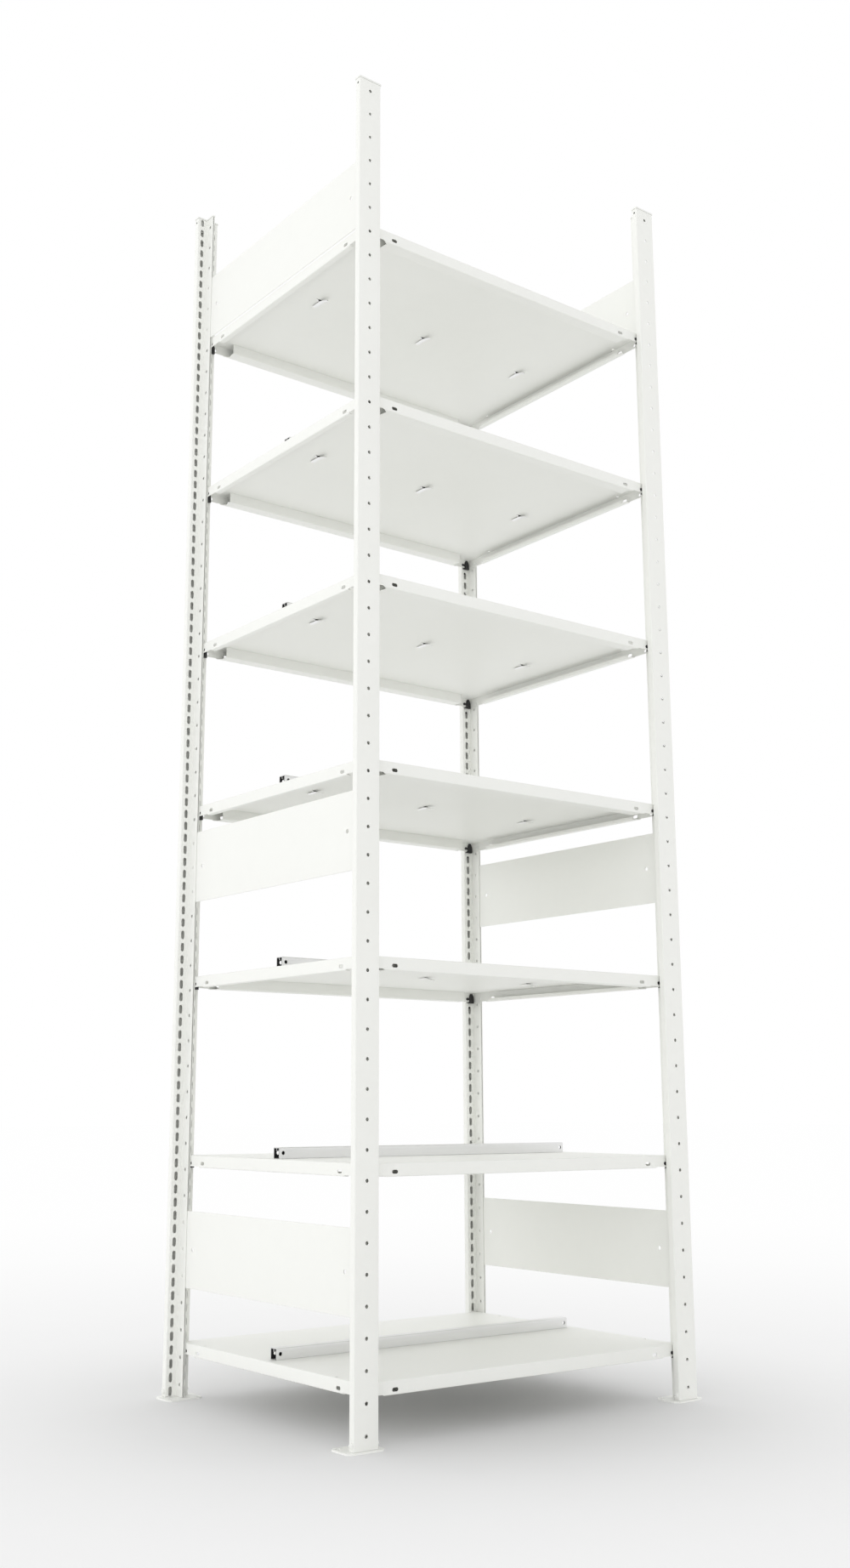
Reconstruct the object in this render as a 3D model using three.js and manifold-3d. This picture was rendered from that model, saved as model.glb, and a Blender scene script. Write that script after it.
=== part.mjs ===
// Office shelving unit: four perforated T-section uprights, seven folded tray shelves hung on hooked clips,
// a stop bar on each shelf, and side panels held in the grooves of the uprights.
// Millimetres, +Z up, origin on the floor at the middle of the footprint, open sides facing -Y and +Y.
import * as THREE from "three";
import { mergeGeometries, mergeVertices } from "three/addons/utils/BufferGeometryUtils.js";
import Module from "manifold-3d";

// Height of the whole unit over the caps
const unitHeight = 2500;

// Running gap between pieces that seat on each other, and the overrun of every cut
const seatGap = 0.3;
const cutOverrun = 1;

// Upright: one folded sheet, a shallow closed head with a two-wall stem that forms the panel groove
const uprightWidth = 50;
const headDepth = 14;
const stemLength = 25;
const stemWidth = 6;
const uprightSheet = 1.25;
const foldSetback = 0.9;

// Perforation of the uprights, the modulus of the whole unit
const slotPitch = 25;
const slotLength = 17.25;
const slotWidth = 7.5;
const slotOffset = 14.4;
const faceHolePitch = 50;
const faceHoleDiameter = 6.5;

// Tray shelf: deck with turned-down walls, wide flanges with up-returns along the long edges
const shelfLength = 750;
const shelfDepth = 600;
const shelfHeight = 23;
const shelfSheet = 1.2;
const shelfEndGap = 0.25;
const shelfSideGap = 2.65;
const longFlange = 28;
const longFlangeInset = 42;
const flangeEndSlant = 12;
const returnHeight = 19;
const shortFlange = 11;
const shortFlangeInset = 40;

// Shelf heights, counted in slot pitches: up from the floor, and down from the top of the unit
const shelfCount = 7;
const firstShelfStep = 3;
const topShelfStep = 13;

// Shelf clip: hook in the slot, foot under the wall, wedge inside the tray
const clipRise = 0.5;
const clipSideClearance = 0.35;
const clipFoot = 2;
const clipNeckHeight = 6;
const clipLip = 2;
const clipLipDrop = 12;
const clipBody = 3;
const clipHeight = 22.4;
const clipWedgeBottom = 16.5;
const clipWedgeTop = 6.5;

// Stop bar: inverted channel along the middle of the deck, with its fixings under the deck
const barWidth = 20;
const barHeight = 20;
const barWall = 1.5;
const barEndInset = 21;
const barHoleDiameter = 7;
const barHoleInset = 8.5;
const fixingSpacing = 275;
const fixingWidth = 10;
const fixingLength = 52;
const fixingHeight = 3;

// Side panel: sheet with one hem along the top and one along the bottom; each row stands above
// the level of one shelf, counted from 0 up or from -1 down
const panelHeight = 144;
const panelSheet = 0.9;
const panelHem = 10;
const grooveClearance = 0.4;
const panelEngagement = 6;
const panelHoleDiameter = 6.5;
const panelHoleInset = 29;
const panelRows = [
  { row: "bottom", shelf: 0, rise: 128 },
  { row: "middle", shelf: 2, rise: 178 },
  { row: "top", shelf: -1, rise: 28 },
];

// Foot plate with anchor holes, and the folded upstand inside the upright
const footWidth = 76;
const footLength = 56.5;
const footOverhang = 5;
const footThickness = 3;
const footChamfer = 8;
const anchorDiameter = 8;
const anchorSpacing = 54;
const anchorInset = 42;
const upstandHeight = 20;
const upstandSheet = 2;

// Cap: plate in the outline of the upright, and its spigot
const capThickness = 3;
const capOverhang = 1.2;
const spigotDepth = 28;

// Sizes that follow from the ones above
const slotCount = Math.floor(unitHeight / slotPitch);
const shelfStep = Math.floor((slotCount - firstShelfStep - topShelfStep) / (shelfCount - 1));
const webFace = headDepth;
const stemEnd = headDepth + stemLength;
const postSpacing = shelfLength + stemWidth + 2 * shelfEndGap;
const unitDepth = shelfDepth + 2 * (shelfSideGap + webFace);
const uprightBottom = footThickness + seatGap;
const uprightTop = unitHeight - capThickness - seatGap;
const panelThickness = stemWidth - 2 * uprightSheet - 2 * grooveClearance;
const headInsideHalf = uprightWidth / 2 - uprightSheet - seatGap;
const headInsideFront = uprightSheet + seatGap;
const headInsideBack = headDepth - uprightSheet - seatGap;

const looks = {
  sheet: { color: 0xf3f3ee, roughness: 0.45, metalness: 0 },
  bar: { color: 0xc9cac8, roughness: 0.35, metalness: 0.8 },
  clip: { color: 0x17171a, roughness: 0.6, metalness: 0 },
  cap: { color: 0xe9e9e4, roughness: 0.5, metalness: 0 },
  foot: { color: 0xe4e4df, roughness: 0.45, metalness: 0.2 },
};

const wasm = await Module();
wasm.setup();

function solidOf(geometry) {
  const bare = geometry.index ? geometry.toNonIndexed() : geometry.clone();
  bare.deleteAttribute("normal");
  bare.deleteAttribute("uv");
  const merged = mergeVertices(bare);
  return new wasm.Manifold(
    new wasm.Mesh({
      numProp: 3,
      vertProperties: merged.attributes.position.array,
      triVerts: new Uint32Array(merged.index.array),
    }),
  );
}

function geometryOf(solid) {
  const made = solid.getMesh();
  const indexed = new THREE.BufferGeometry();
  indexed.setAttribute("position", new THREE.BufferAttribute(made.vertProperties, made.numProp));
  indexed.setIndex(new THREE.BufferAttribute(made.triVerts, 1));
  const geometry = indexed.toNonIndexed();
  geometry.computeVertexNormals();
  return geometry;
}

function joined(pieces) {
  return pieces.map(solidOf).reduce((whole, piece) => whole.add(piece));
}

function cutBy(geometry, cutters) {
  return geometryOf(solidOf(geometry).subtract(solidOf(mergeGeometries(cutters))));
}

// An outline pushed up along Z
function prism(outline, depth) {
  const shape = new THREE.Shape(outline.map(([x, y]) => new THREE.Vector2(x, y)));
  return new THREE.ExtrudeGeometry(shape, { depth, bevelEnabled: false });
}

// An outline in Y and Z pushed along X
function prismAlongX(outline, length) {
  const turn = new THREE.Matrix4().makeBasis(
    new THREE.Vector3(0, 1, 0),
    new THREE.Vector3(0, 0, 1),
    new THREE.Vector3(1, 0, 0),
  );
  return prism(outline, length).translate(0, 0, -length / 2).applyMatrix4(turn);
}

// An outline in Z and X pushed along Y
function prismAlongY(outline, length) {
  const turn = new THREE.Matrix4().makeBasis(
    new THREE.Vector3(0, 0, 1),
    new THREE.Vector3(1, 0, 0),
    new THREE.Vector3(0, 1, 0),
  );
  return prism(outline, length).translate(0, 0, -length / 2).applyMatrix4(turn);
}

function block(low, high) {
  const size = high.map((value, i) => value - low[i]);
  const middle = high.map((value, i) => (value + low[i]) / 2);
  return new THREE.BoxGeometry(...size).translate(...middle);
}

// Side of the square that has the area of a round hole: the many small holes keep four corners each
function squareSide(diameter) {
  return (diameter * Math.sqrt(Math.PI)) / 2;
}

function mirroredOutline(half) {
  return [...half, ...half.map(([x, y]) => [-x, y]).reverse()];
}

// Section of the upright: X across the face, Y from the outer face inwards
function uprightOutline() {
  const half = uprightWidth / 2;
  const stem = stemWidth / 2;
  const right = [
    [half - foldSetback, 0],
    [half, foldSetback],
    [half, webFace - foldSetback],
    [half - foldSetback, webFace],
    [stem, webFace],
    [stem, stemEnd],
    [stem - uprightSheet, stemEnd],
    [stem - uprightSheet, webFace - uprightSheet],
    [half - uprightSheet, webFace - uprightSheet],
    [half - uprightSheet, uprightSheet],
  ];
  return mirroredOutline(right);
}

// Slots for the clips run up the web that faces the shelves, side +1 or -1
function slotCutters(side) {
  const cutters = [];
  for (let i = 0; i < slotCount; i += 1) {
    const middle = slotPitch * (i + 0.5);
    cutters.push(
      block(
        [side * slotOffset - slotWidth / 2, webFace - uprightSheet - cutOverrun, middle - slotLength / 2],
        [side * slotOffset + slotWidth / 2, webFace + cutOverrun, middle + slotLength / 2],
      ),
    );
  }
  return cutters;
}

function faceHoleCutters() {
  const side = squareSide(faceHoleDiameter);
  const count = Math.floor(unitHeight / faceHolePitch);
  const cutters = [];
  for (let i = 0; i < count; i += 1) {
    const middle = faceHolePitch * (i + 0.5);
    cutters.push(
      block(
        [-side / 2, -cutOverrun, middle - side / 2],
        [side / 2, uprightSheet + cutOverrun, middle + side / 2],
      ),
    );
  }
  return cutters;
}

function uprightGeometry(side) {
  const blank = prism(uprightOutline(), uprightTop - uprightBottom).translate(0, 0, uprightBottom);
  return cutBy(blank, [...slotCutters(side), ...faceHoleCutters()]);
}

// Folded channel inside the head of the upright, open towards the webs
function channelOutline() {
  return mirroredOutline([
    [headInsideHalf, headInsideFront],
    [headInsideHalf, headInsideBack],
    [headInsideHalf - upstandSheet, headInsideBack],
    [headInsideHalf - upstandSheet, headInsideFront + upstandSheet],
  ]);
}

function footGeometry() {
  const half = footWidth / 2;
  const front = -footOverhang;
  const back = footLength - footOverhang;
  const plate = prism(
    mirroredOutline([
      [half - footChamfer, front],
      [half, front + footChamfer],
      [half, back - footChamfer],
      [half - footChamfer, back],
    ]),
    footThickness,
  );
  const side = squareSide(anchorDiameter);
  const anchors = [-1, 1].map((way) =>
    block(
      [(way * anchorSpacing) / 2 - side / 2, anchorInset - side / 2, -cutOverrun],
      [(way * anchorSpacing) / 2 + side / 2, anchorInset + side / 2, footThickness + cutOverrun],
    ),
  );
  const upstand = prism(channelOutline(), footThickness + upstandHeight);
  return cutBy(geometryOf(joined([plate, upstand])), anchors);
}

function capGeometry() {
  const half = uprightWidth / 2 + capOverhang;
  const stem = stemWidth / 2 + capOverhang;
  const plate = prism(
    mirroredOutline([
      [half, -capOverhang],
      [half, webFace + capOverhang],
      [stem, webFace + capOverhang],
      [stem, stemEnd + capOverhang],
    ]),
    capThickness,
  );
  const spigot = prism(channelOutline(), spigotDepth + capThickness).translate(0, 0, -spigotDepth);
  return geometryOf(joined([plate, spigot])).translate(0, 0, unitHeight - capThickness);
}

// Tray shelf with the deck's top at Z 0
function shelfGeometry() {
  const endX = shelfLength / 2;
  const sideY = shelfDepth / 2;
  const shell = solidOf(block([-endX, -sideY, -shelfHeight], [endX, sideY, 0])).subtract(
    solidOf(
      block(
        [shelfSheet - endX, shelfSheet - sideY, -shelfHeight - cutOverrun],
        [endX - shelfSheet, sideY - shelfSheet, -shelfSheet],
      ),
    ),
  );
  const bottom = -shelfHeight;
  const folds = [];
  for (const way of [-1, 1]) {
    const wallEnd = endX - longFlangeInset;
    const foldEnd = wallEnd - flangeEndSlant;
    const wallY = way * (sideY - shelfSheet / 2);
    const foldY = way * (sideY - longFlange);
    const foldInner = way * (sideY - longFlange + shelfSheet);
    folds.push(
      prism([[-wallEnd, wallY], [wallEnd, wallY], [foldEnd, foldY], [-foldEnd, foldY]], shelfSheet)
        .translate(0, 0, bottom),
      block(
        [-foldEnd, Math.min(foldY, foldInner), bottom],
        [foldEnd, Math.max(foldY, foldInner), bottom + returnHeight],
      ),
    );
    const outerX = way * (endX - shelfSheet / 2);
    const innerX = way * (endX - shortFlange);
    folds.push(
      block(
        [Math.min(outerX, innerX), shortFlangeInset - sideY, bottom],
        [Math.max(outerX, innerX), sideY - shortFlangeInset, bottom + shelfSheet],
      ),
    );
  }
  for (const place of [-fixingSpacing, 0, fixingSpacing]) {
    folds.push(
      block(
        [place - fixingWidth / 2, -fixingLength / 2, -shelfSheet - fixingHeight],
        [place + fixingWidth / 2, fixingLength / 2, -shelfSheet / 2],
      ),
    );
  }
  return geometryOf(shell.add(joined(folds)));
}

function barGeometry() {
  const half = barWidth / 2;
  const length = shelfLength - 2 * barEndInset;
  const channel = prismAlongX(
    mirroredOutline([
      [half - barWall, barHeight - barWall],
      [half - barWall, 0],
      [half, 0],
      [half, barHeight],
    ]),
    length,
  );
  const side = squareSide(barHoleDiameter);
  const holes = [-1, 1].map((way) => {
    const middle = way * (length / 2 - barHoleInset);
    return block(
      [middle - side / 2, -half - cutOverrun, (barHeight - side) / 2],
      [middle + side / 2, barWall - half + cutOverrun, (barHeight + side) / 2],
    );
  });
  return cutBy(channel, holes);
}

// Clip outline in Y and Z: Y from the outer face of the upright, Z from the lower edge of the slot,
// each point with its half width, so that the body tapers like the moulded wedge
function clipPoints() {
  const neck = slotWidth / 2 - clipSideClearance;
  const wide = clipWedgeBottom / 2;
  const narrow = clipWedgeTop / 2;
  const lipFront = webFace - uprightSheet - seatGap;
  const lipBack = lipFront - clipLip;
  const riserFront = webFace + seatGap;
  const riserBack = webFace + shelfSideGap - seatGap;
  const bodyFront = webFace + shelfSideGap + shelfSheet + seatGap;
  const bodyBack = bodyFront + clipBody;
  const neckBottom = seatGap;
  const neckTop = seatGap + clipNeckHeight;
  const footTop = clipRise - seatGap;
  const footBottom = footTop - clipFoot;
  const bodyTop = footBottom + clipHeight;
  return [
    { y: lipBack, z: -clipLipDrop, half: neck },
    { y: lipFront, z: -clipLipDrop, half: neck },
    { y: lipFront, z: neckBottom, half: neck },
    { y: riserFront, z: neckBottom, half: neck },
    { y: riserFront, z: footBottom, half: neck },
    { y: bodyBack, z: footBottom, half: wide },
    { y: bodyBack, z: bodyTop, half: narrow },
    { y: bodyFront, z: bodyTop, half: narrow },
    { y: bodyFront, z: footTop, half: wide },
    { y: riserBack, z: footTop, half: neck },
    { y: riserBack, z: neckTop, half: neck },
    { y: lipBack, z: neckTop, half: neck },
  ];
}

function clipGeometry() {
  const points = clipPoints();
  const geometry = prismAlongX(points.map(({ y, z }) => [y, z]), 1);
  const place = geometry.attributes.position;
  for (let i = 0; i < place.count; i += 1) {
    const near = points.reduce((best, point) => {
      const reach = ({ y, z }) => Math.hypot(y - place.getY(i), z - place.getZ(i));
      return reach(point) < reach(best) ? point : best;
    });
    place.setX(i, Math.sign(place.getX(i)) * near.half);
  }
  geometry.computeVertexNormals();
  return geometry;
}

// Panel section in Z and X: the sheet on the outer side, a hem folded back along each edge
function panelGeometry(outward) {
  const half = panelHeight / 2;
  const outer = (outward * panelThickness) / 2;
  const sheet = outer - outward * panelSheet;
  const length = unitDepth - 2 * (stemEnd - panelEngagement);
  const blank = prismAlongY(
    [
      [-half, outer],
      [half, outer],
      [half, -outer],
      [half - panelHem, -outer],
      [half - panelHem, sheet],
      [panelHem - half, sheet],
      [panelHem - half, -outer],
      [-half, -outer],
    ],
    length,
  );
  const side = squareSide(panelHoleDiameter);
  const holes = [-1, 1].map((way) => {
    const middle = way * (length / 2 - panelHoleInset);
    return block(
      [-panelThickness, middle - side / 2, -side / 2],
      [panelThickness, middle + side / 2, side / 2],
    );
  });
  return cutBy(blank, holes);
}

function mesh(name, geometry, look) {
  const made = new THREE.Mesh(geometry, new THREE.MeshStandardMaterial(looks[look]));
  made.name = name;
  return made;
}

const shelfLevels = Array.from(
  { length: shelfCount },
  (_, i) => slotPitch * (firstShelfStep + shelfStep * i),
);

// Lower edge of the slot that a clip at this level hooks into
function slotFloor(level) {
  return level + (slotPitch - slotLength) / 2;
}

const unit = new THREE.Group();

const corners = [
  { place: "front_left", across: -1, inward: 1, side: 1 },
  { place: "front_right", across: 1, inward: 1, side: -1 },
  { place: "rear_left", across: -1, inward: -1, side: -1 },
  { place: "rear_right", across: 1, inward: -1, side: 1 },
];
for (const { place, across, inward, side } of corners) {
  const corner = new THREE.Group();
  corner.position.set((across * postSpacing) / 2, (-inward * unitDepth) / 2, 0);
  corner.rotation.z = inward > 0 ? 0 : Math.PI;
  corner.add(mesh(`upright_${place}`, uprightGeometry(side), "sheet"));
  corner.add(mesh(`foot_${place}`, footGeometry(), "foot"));
  corner.add(mesh(`cap_${place}`, capGeometry(), "cap"));
  shelfLevels.forEach((level, i) => {
    const clip = mesh(`shelf_clip_${i + 1}_${place}`, clipGeometry(), "clip");
    clip.position.set(side * slotOffset, 0, slotFloor(level));
    corner.add(clip);
  });
  unit.add(corner);
}

shelfLevels.forEach((level, i) => {
  const tray = new THREE.Group();
  tray.position.z = slotFloor(level) + clipRise + shelfHeight;
  tray.add(mesh(`shelf_${i + 1}`, shelfGeometry(), "sheet"));
  const bar = mesh(`stop_bar_${i + 1}`, barGeometry(), "bar");
  bar.position.z = seatGap;
  tray.add(bar);
  unit.add(tray);
});

for (const [flank, across] of [["left", -1], ["right", 1]]) {
  for (const { row, shelf, rise } of panelRows) {
    const panel = mesh(`side_panel_${flank}_${row}`, panelGeometry(across), "sheet");
    const middle = shelfLevels.at(shelf) + rise + panelHeight / 2;
    panel.position.set((across * postSpacing) / 2, 0, middle);
    unit.add(panel);
  }
}

export default unit;
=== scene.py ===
import math

import bpy
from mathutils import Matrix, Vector
from mathutils.geometry import delaunay_2d_cdt


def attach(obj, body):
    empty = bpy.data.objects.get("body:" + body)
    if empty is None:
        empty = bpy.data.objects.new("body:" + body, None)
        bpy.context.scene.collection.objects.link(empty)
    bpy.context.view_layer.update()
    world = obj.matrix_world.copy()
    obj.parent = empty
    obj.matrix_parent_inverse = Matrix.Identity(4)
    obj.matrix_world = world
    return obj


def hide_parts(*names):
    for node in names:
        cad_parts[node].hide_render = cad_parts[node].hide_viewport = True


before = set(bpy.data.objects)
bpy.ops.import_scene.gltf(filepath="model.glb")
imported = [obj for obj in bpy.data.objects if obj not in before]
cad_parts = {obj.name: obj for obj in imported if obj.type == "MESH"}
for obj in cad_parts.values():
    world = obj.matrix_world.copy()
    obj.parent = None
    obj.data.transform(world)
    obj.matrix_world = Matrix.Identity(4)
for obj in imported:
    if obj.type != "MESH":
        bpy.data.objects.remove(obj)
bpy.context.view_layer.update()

# The uprights. Each is one strip of steel, punched while flat and then folded into a shallow closed
# head with a two-wall stem behind it. The stem's walls stand apart and leave the groove that takes
# the side panels. Round holes run up the face and the stem, slots for the clips up both webs.
mm = 0.001
upright_width = 50
head_depth = 14
stem_length = 25
stem_width = 4.8
strip_sheet = 1.25
strip_bend = 0.75
post_x = 378.25
post_y = 316.65
slot_pitch = 25
hole_pitch = 50
upright_foot = 3.3
upright_head = 2496.7
upright_tiles = 50
slot_long = 17.25
slot_wide = 7.5
slot_aside = 14.4
slot_sides = 8
face_hole = 6.5
face_hole_sides = 8
stem_hole_depth = 27.8
stem_hole_sides = 6
rivet_hole = 5
rivet_depth = 6.8
rivet_height = 12.3


def press(start, heading, runs, turns, inside, sheet):
    """Lays a folded section out: straight legs and quarter bends along its outer skin, the outside
    on the left. A turn of -1 folds the sheet away from its outside, and +1 folds it towards it.
    Gives the legs, the flat place where each run's outer corner starts, and the width of the blank."""
    legs, marks, flat, setback = [], [], 0.0, 0.0
    spot, way = Vector(start), Vector(heading)

    def leg(length, turn, radius):
        return {"from": flat, "to": flat + length, "spot": spot, "way": way, "turn": turn, "radius": radius}

    for number, run in enumerate(runs):
        turn = turns[number] if number < len(turns) else 0
        radius = inside + (sheet if turn < 0 else 0)
        marks.append(flat - setback)
        straight = run - setback - (radius if turn else 0)
        legs.append(leg(straight, 0, 0))
        flat += straight
        spot = spot + way * straight
        if turn:
            arc = radius * math.pi / 2
            legs.append(leg(arc, turn, radius))
            flat += arc
            left = Vector((-way.y, way.x))
            centre = spot + left * turn * radius
            way = left * turn
            spot = centre - Vector((-way.y, way.x)) * turn * radius
        setback = radius
    return legs, marks, flat


def on_section(legs, flat, sheet):
    """Places on the outer and the inner skin of a folded sheet, for a flat place on its blank."""
    leg = next((leg for leg in legs if flat <= leg["to"] + 1e-6), legs[-1])
    left = Vector((-leg["way"].y, leg["way"].x))
    along = flat - leg["from"]
    if not leg["turn"]:
        spot = leg["spot"] + leg["way"] * along
        return spot, spot - left * sheet
    centre = leg["spot"] + left * leg["turn"] * leg["radius"]
    angle = leg["turn"] * along / leg["radius"]
    out = Vector((left.x * math.cos(angle) - left.y * math.sin(angle),
                  left.x * math.sin(angle) + left.y * math.cos(angle)))
    spot = centre - out * leg["turn"] * leg["radius"]
    return spot, spot - out * sheet


def fold_lines(legs, steps=4):
    """Flat places of the lines that let a quarter bend come out round."""
    bends = [leg for leg in legs if leg["turn"]]
    return sorted({round(leg["from"] + (leg["to"] - leg["from"]) * i / steps, 6)
                   for leg in bends for i in range(steps + 1)})


def in_bend(legs, flat):
    return any(leg["turn"] and leg["from"] < flat < leg["to"] for leg in legs)


def bent_along(legs, axis):
    """Rule that tells whether a flat point lies in a bend, where the metal is shaded round."""
    return lambda point: in_bend(legs, point[axis])


def rectangle(left, low, right, high):
    return [(left, low), (right, low), (right, high), (left, high)]


def long_hole(x, y, wide, high, half_sides):
    """Outline of a punched hole with round ends, or a circle where both sizes are the same.
    Half a circle has half_sides straight sides."""
    radius = min(wide, high) / 2
    reach_x, reach_y = wide / 2 - radius, high / 2 - radius
    corners = []
    for quarter in range(4):
        for i in range(half_sides // 2 + 1):
            angle = math.pi / 2 * (quarter + i / (half_sides // 2))
            shift_x = reach_x * (1 if quarter in (0, 3) else -1)
            shift_y = reach_y * (1 if quarter in (0, 1) else -1)
            corners.append((round(x + shift_x + radius * math.cos(angle), 5),
                            round(y + shift_y + radius * math.sin(angle), 5)))
    return [p for i, p in enumerate(corners) if math.dist(p, corners[i - 1]) > 1e-3]


def encloses(loop, x, y):
    within = False
    for (ax, ay), (bx, by) in zip(loop, loop[1:] + loop[:1]):
        if (ay > y) != (by > y) and x < ax + (y - ay) * (bx - ax) / (by - ay):
            within = not within
    return within


def blank(outline, holes=(), creases=()):
    """The flat blank, cut out and punched: its points and its triangles."""
    points, edges = [], []
    for loop in [outline, *holes]:
        first = len(points)
        points += [Vector(p) for p in loop]
        edges += [(first + i, first + (i + 1) % len(loop)) for i in range(len(loop))]
    for start, end in creases:
        edges.append((len(points), len(points) + 1))
        points += [Vector(start), Vector(end)]
    laid, _, triangles, *_ = delaunay_2d_cdt(points, edges, [], 0, 1e-5)
    kept = []
    for triangle in triangles:
        x = sum(laid[i].x for i in triangle) / 3
        y = sum(laid[i].y for i in triangle) / 3
        if encloses(outline, x, y) and not any(encloses(hole, x, y) for hole in holes):
            kept.append(tuple(triangle))
    used = sorted({i for triangle in kept for i in triangle})
    number = {old: new for new, old in enumerate(used)}
    return [tuple(laid[i]) for i in used], [tuple(number[i] for i in triangle) for triangle in kept]


def make_mesh(name, sheets, crease=40):
    """Builds sheets as solid metal. Each one is a blank, a rule that gives the places of its two
    skins in millimetres, and a rule that says where it is bent and so shaded round."""
    places, faces, rounded = [], [], []
    for (points, triangles), skins, bent in sheets:
        base, count = len(places), len(points)
        pairs = [skins(point) for point in points]
        places += [pair[0] for pair in pairs] + [pair[1] for pair in pairs]
        sides = {(t[i], t[(i + 1) % 3]) for t in triangles for i in range(3)}
        for a, b, c in triangles:
            x = (points[a][0] + points[b][0] + points[c][0]) / 3
            y = (points[a][1] + points[b][1] + points[c][1]) / 3
            faces.append((base + a, base + b, base + c))
            faces.append((base + count + c, base + count + b, base + count + a))
            rounded += [bent((x, y))] * 2
        for a, b in sides:
            if (b, a) not in sides:
                faces.append((base + b, base + a, base + count + a, base + count + b))
                rounded.append(True)
    mesh = bpy.data.meshes.new(name)
    mesh.from_pydata([Vector(place) * mm for place in places], [], faces)
    mesh.polygons.foreach_set("use_smooth", rounded)
    mesh.set_sharp_from_angle(angle=math.radians(crease))
    return mesh


def face_outwards(mesh):
    """Turns the mesh so that its faces look out of the metal."""
    volume = 0.0
    for face in mesh.polygons:
        first = mesh.vertices[face.vertices[0]].co
        for i in range(1, len(face.vertices) - 1):
            second = mesh.vertices[face.vertices[i]].co
            third = mesh.vertices[face.vertices[i + 1]].co
            volume += first.dot(second.cross(third))
    if volume < 0:
        mesh.flip_normals()
    return mesh


def new_material(name):
    made = bpy.data.materials.new(name)
    made.use_nodes = True
    made.node_tree.nodes.clear()
    return made, made.node_tree


def feed(tree, socket, value):
    """Gives a socket its value, or links it where the value is another node's output."""
    if isinstance(value, bpy.types.NodeSocket):
        tree.links.new(value, socket)
    else:
        socket.default_value = value


def add_node(tree, kind, settings=None, **sockets):
    made = tree.nodes.new(kind)
    for key, value in (settings or {}).items():
        setattr(made, key, value)
    for key, value in sockets.items():
        feed(tree, made.inputs[key.replace("_", " ")], value)
    return made


def reckon(tree, kind, operation, *values):
    """One step of arithmetic on numbers, directions or other nodes' outputs."""
    made = add_node(tree, kind, {"operation": operation})
    for socket, value in zip(made.inputs, values):
        feed(tree, socket, value)
    return made.outputs["Value"]


def toned(tree, amount, dark, light, start, end):
    """Colour that goes from dark to light while the amount goes from start to end."""
    ramp = add_node(tree, "ShaderNodeValToRGB", Fac=amount)
    for stop, place, colour in zip(ramp.color_ramp.elements, (start, end), (dark, light)):
        stop.position = place
        stop.color = (*colour, 1)
    return ramp.outputs["Color"]


def finish_surface(tree, colour, wander, roughest, smoothest, bump, metallic=0.0):
    """Closes a material with its shader. The gloss wanders between its two ends with a slow noise."""
    gloss = add_node(tree, "ShaderNodeMapRange", Value=wander, From_Min=0.3, From_Max=0.7,
                     To_Min=smoothest, To_Max=roughest)
    shader = add_node(tree, "ShaderNodeBsdfPrincipled", Base_Color=colour, Metallic=metallic,
                      Roughness=gloss.outputs["Result"], Normal=bump.outputs["Normal"])
    add_node(tree, "ShaderNodeOutputMaterial", Surface=shader.outputs["BSDF"])


def stoved_coat(name, light, dark, roughness, peel=0.02):
    """White powder coat: a slow drift of tone from piece to piece, a faint cloud where the powder
    lay thicker, satin gloss that varies a little, and the fine orange peel of a stoved coat."""
    coat, tree = new_material(name)
    place = add_node(tree, "ShaderNodeTexCoord").outputs["Object"]
    piece = add_node(tree, "ShaderNodeObjectInfo").outputs["Random"]
    drift = add_node(tree, "ShaderNodeTexNoise", {"noise_dimensions": "4D"}, Vector=place, W=piece,
                     Scale=2.2, Detail=3.0, Roughness=0.55).outputs["Fac"]
    cloud = add_node(tree, "ShaderNodeTexNoise", {"noise_dimensions": "4D"}, Vector=place, W=piece,
                     Scale=38.0, Detail=4.0, Roughness=0.6).outputs["Fac"]
    cloud_share = 0.45
    blend = reckon(tree, "ShaderNodeMath", "MULTIPLY_ADD", cloud, cloud_share, drift)
    skin = add_node(tree, "ShaderNodeTexNoise", Vector=place, Scale=620.0, Detail=2.0, Roughness=0.5)
    bump = add_node(tree, "ShaderNodeBump", Strength=peel, Distance=0.0004, Height=skin.outputs["Fac"])
    finish_surface(tree, toned(tree, blend, dark, light, 0.45, 1.0), cloud,
                   roughness + 0.06, roughness - 0.05, bump)
    return coat


def set_up(name, mesh, finish, nodes, place=(0, 0, 0), turned=0.0):
    """Puts a finished piece where it belongs and lets it stand for its CAD nodes."""
    piece = bpy.data.objects.new(name, mesh)
    if not mesh.materials:
        mesh.materials.append(finish)
    piece.location = Vector(place) * mm
    piece.rotation_euler = (0, 0, turned)
    bpy.context.scene.collection.objects.link(piece)
    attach(piece, "root")
    if nodes:
        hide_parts(*nodes)
    return piece


half_width = upright_width / 2
web_run = (upright_width - stem_width) / 2
strip_legs, strip_marks, strip_width = press(
    (stem_width / 2, head_depth + stem_length), (0, -1),
    [stem_length, web_run, head_depth, upright_width, head_depth, web_run, stem_length],
    [1, -1, -1, -1, -1, 1], strip_bend, strip_sheet)
stem_a, web_a, return_a, face_run, return_b, web_b, stem_b = strip_marks
slot_places = [web_a + slot_aside - stem_width / 2, web_b + half_width - slot_aside]
stem_places = [stem_a + head_depth + stem_length - stem_hole_depth, stem_b + stem_hole_depth - head_depth]
rivet_places = [return_a + head_depth - rivet_depth, return_b + rivet_depth]
tile_holes = [long_hole(face_run + half_width, hole_pitch / 2, face_hole, face_hole, face_hole_sides)]
for place in slot_places:
    for row in (0.5, 1.5):
        tile_holes.append(long_hole(place, slot_pitch * row, slot_wide, slot_long, slot_sides))
for place in stem_places:
    tile_holes.append(long_hole(place, hole_pitch / 2, face_hole, face_hole, stem_hole_sides))
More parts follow.
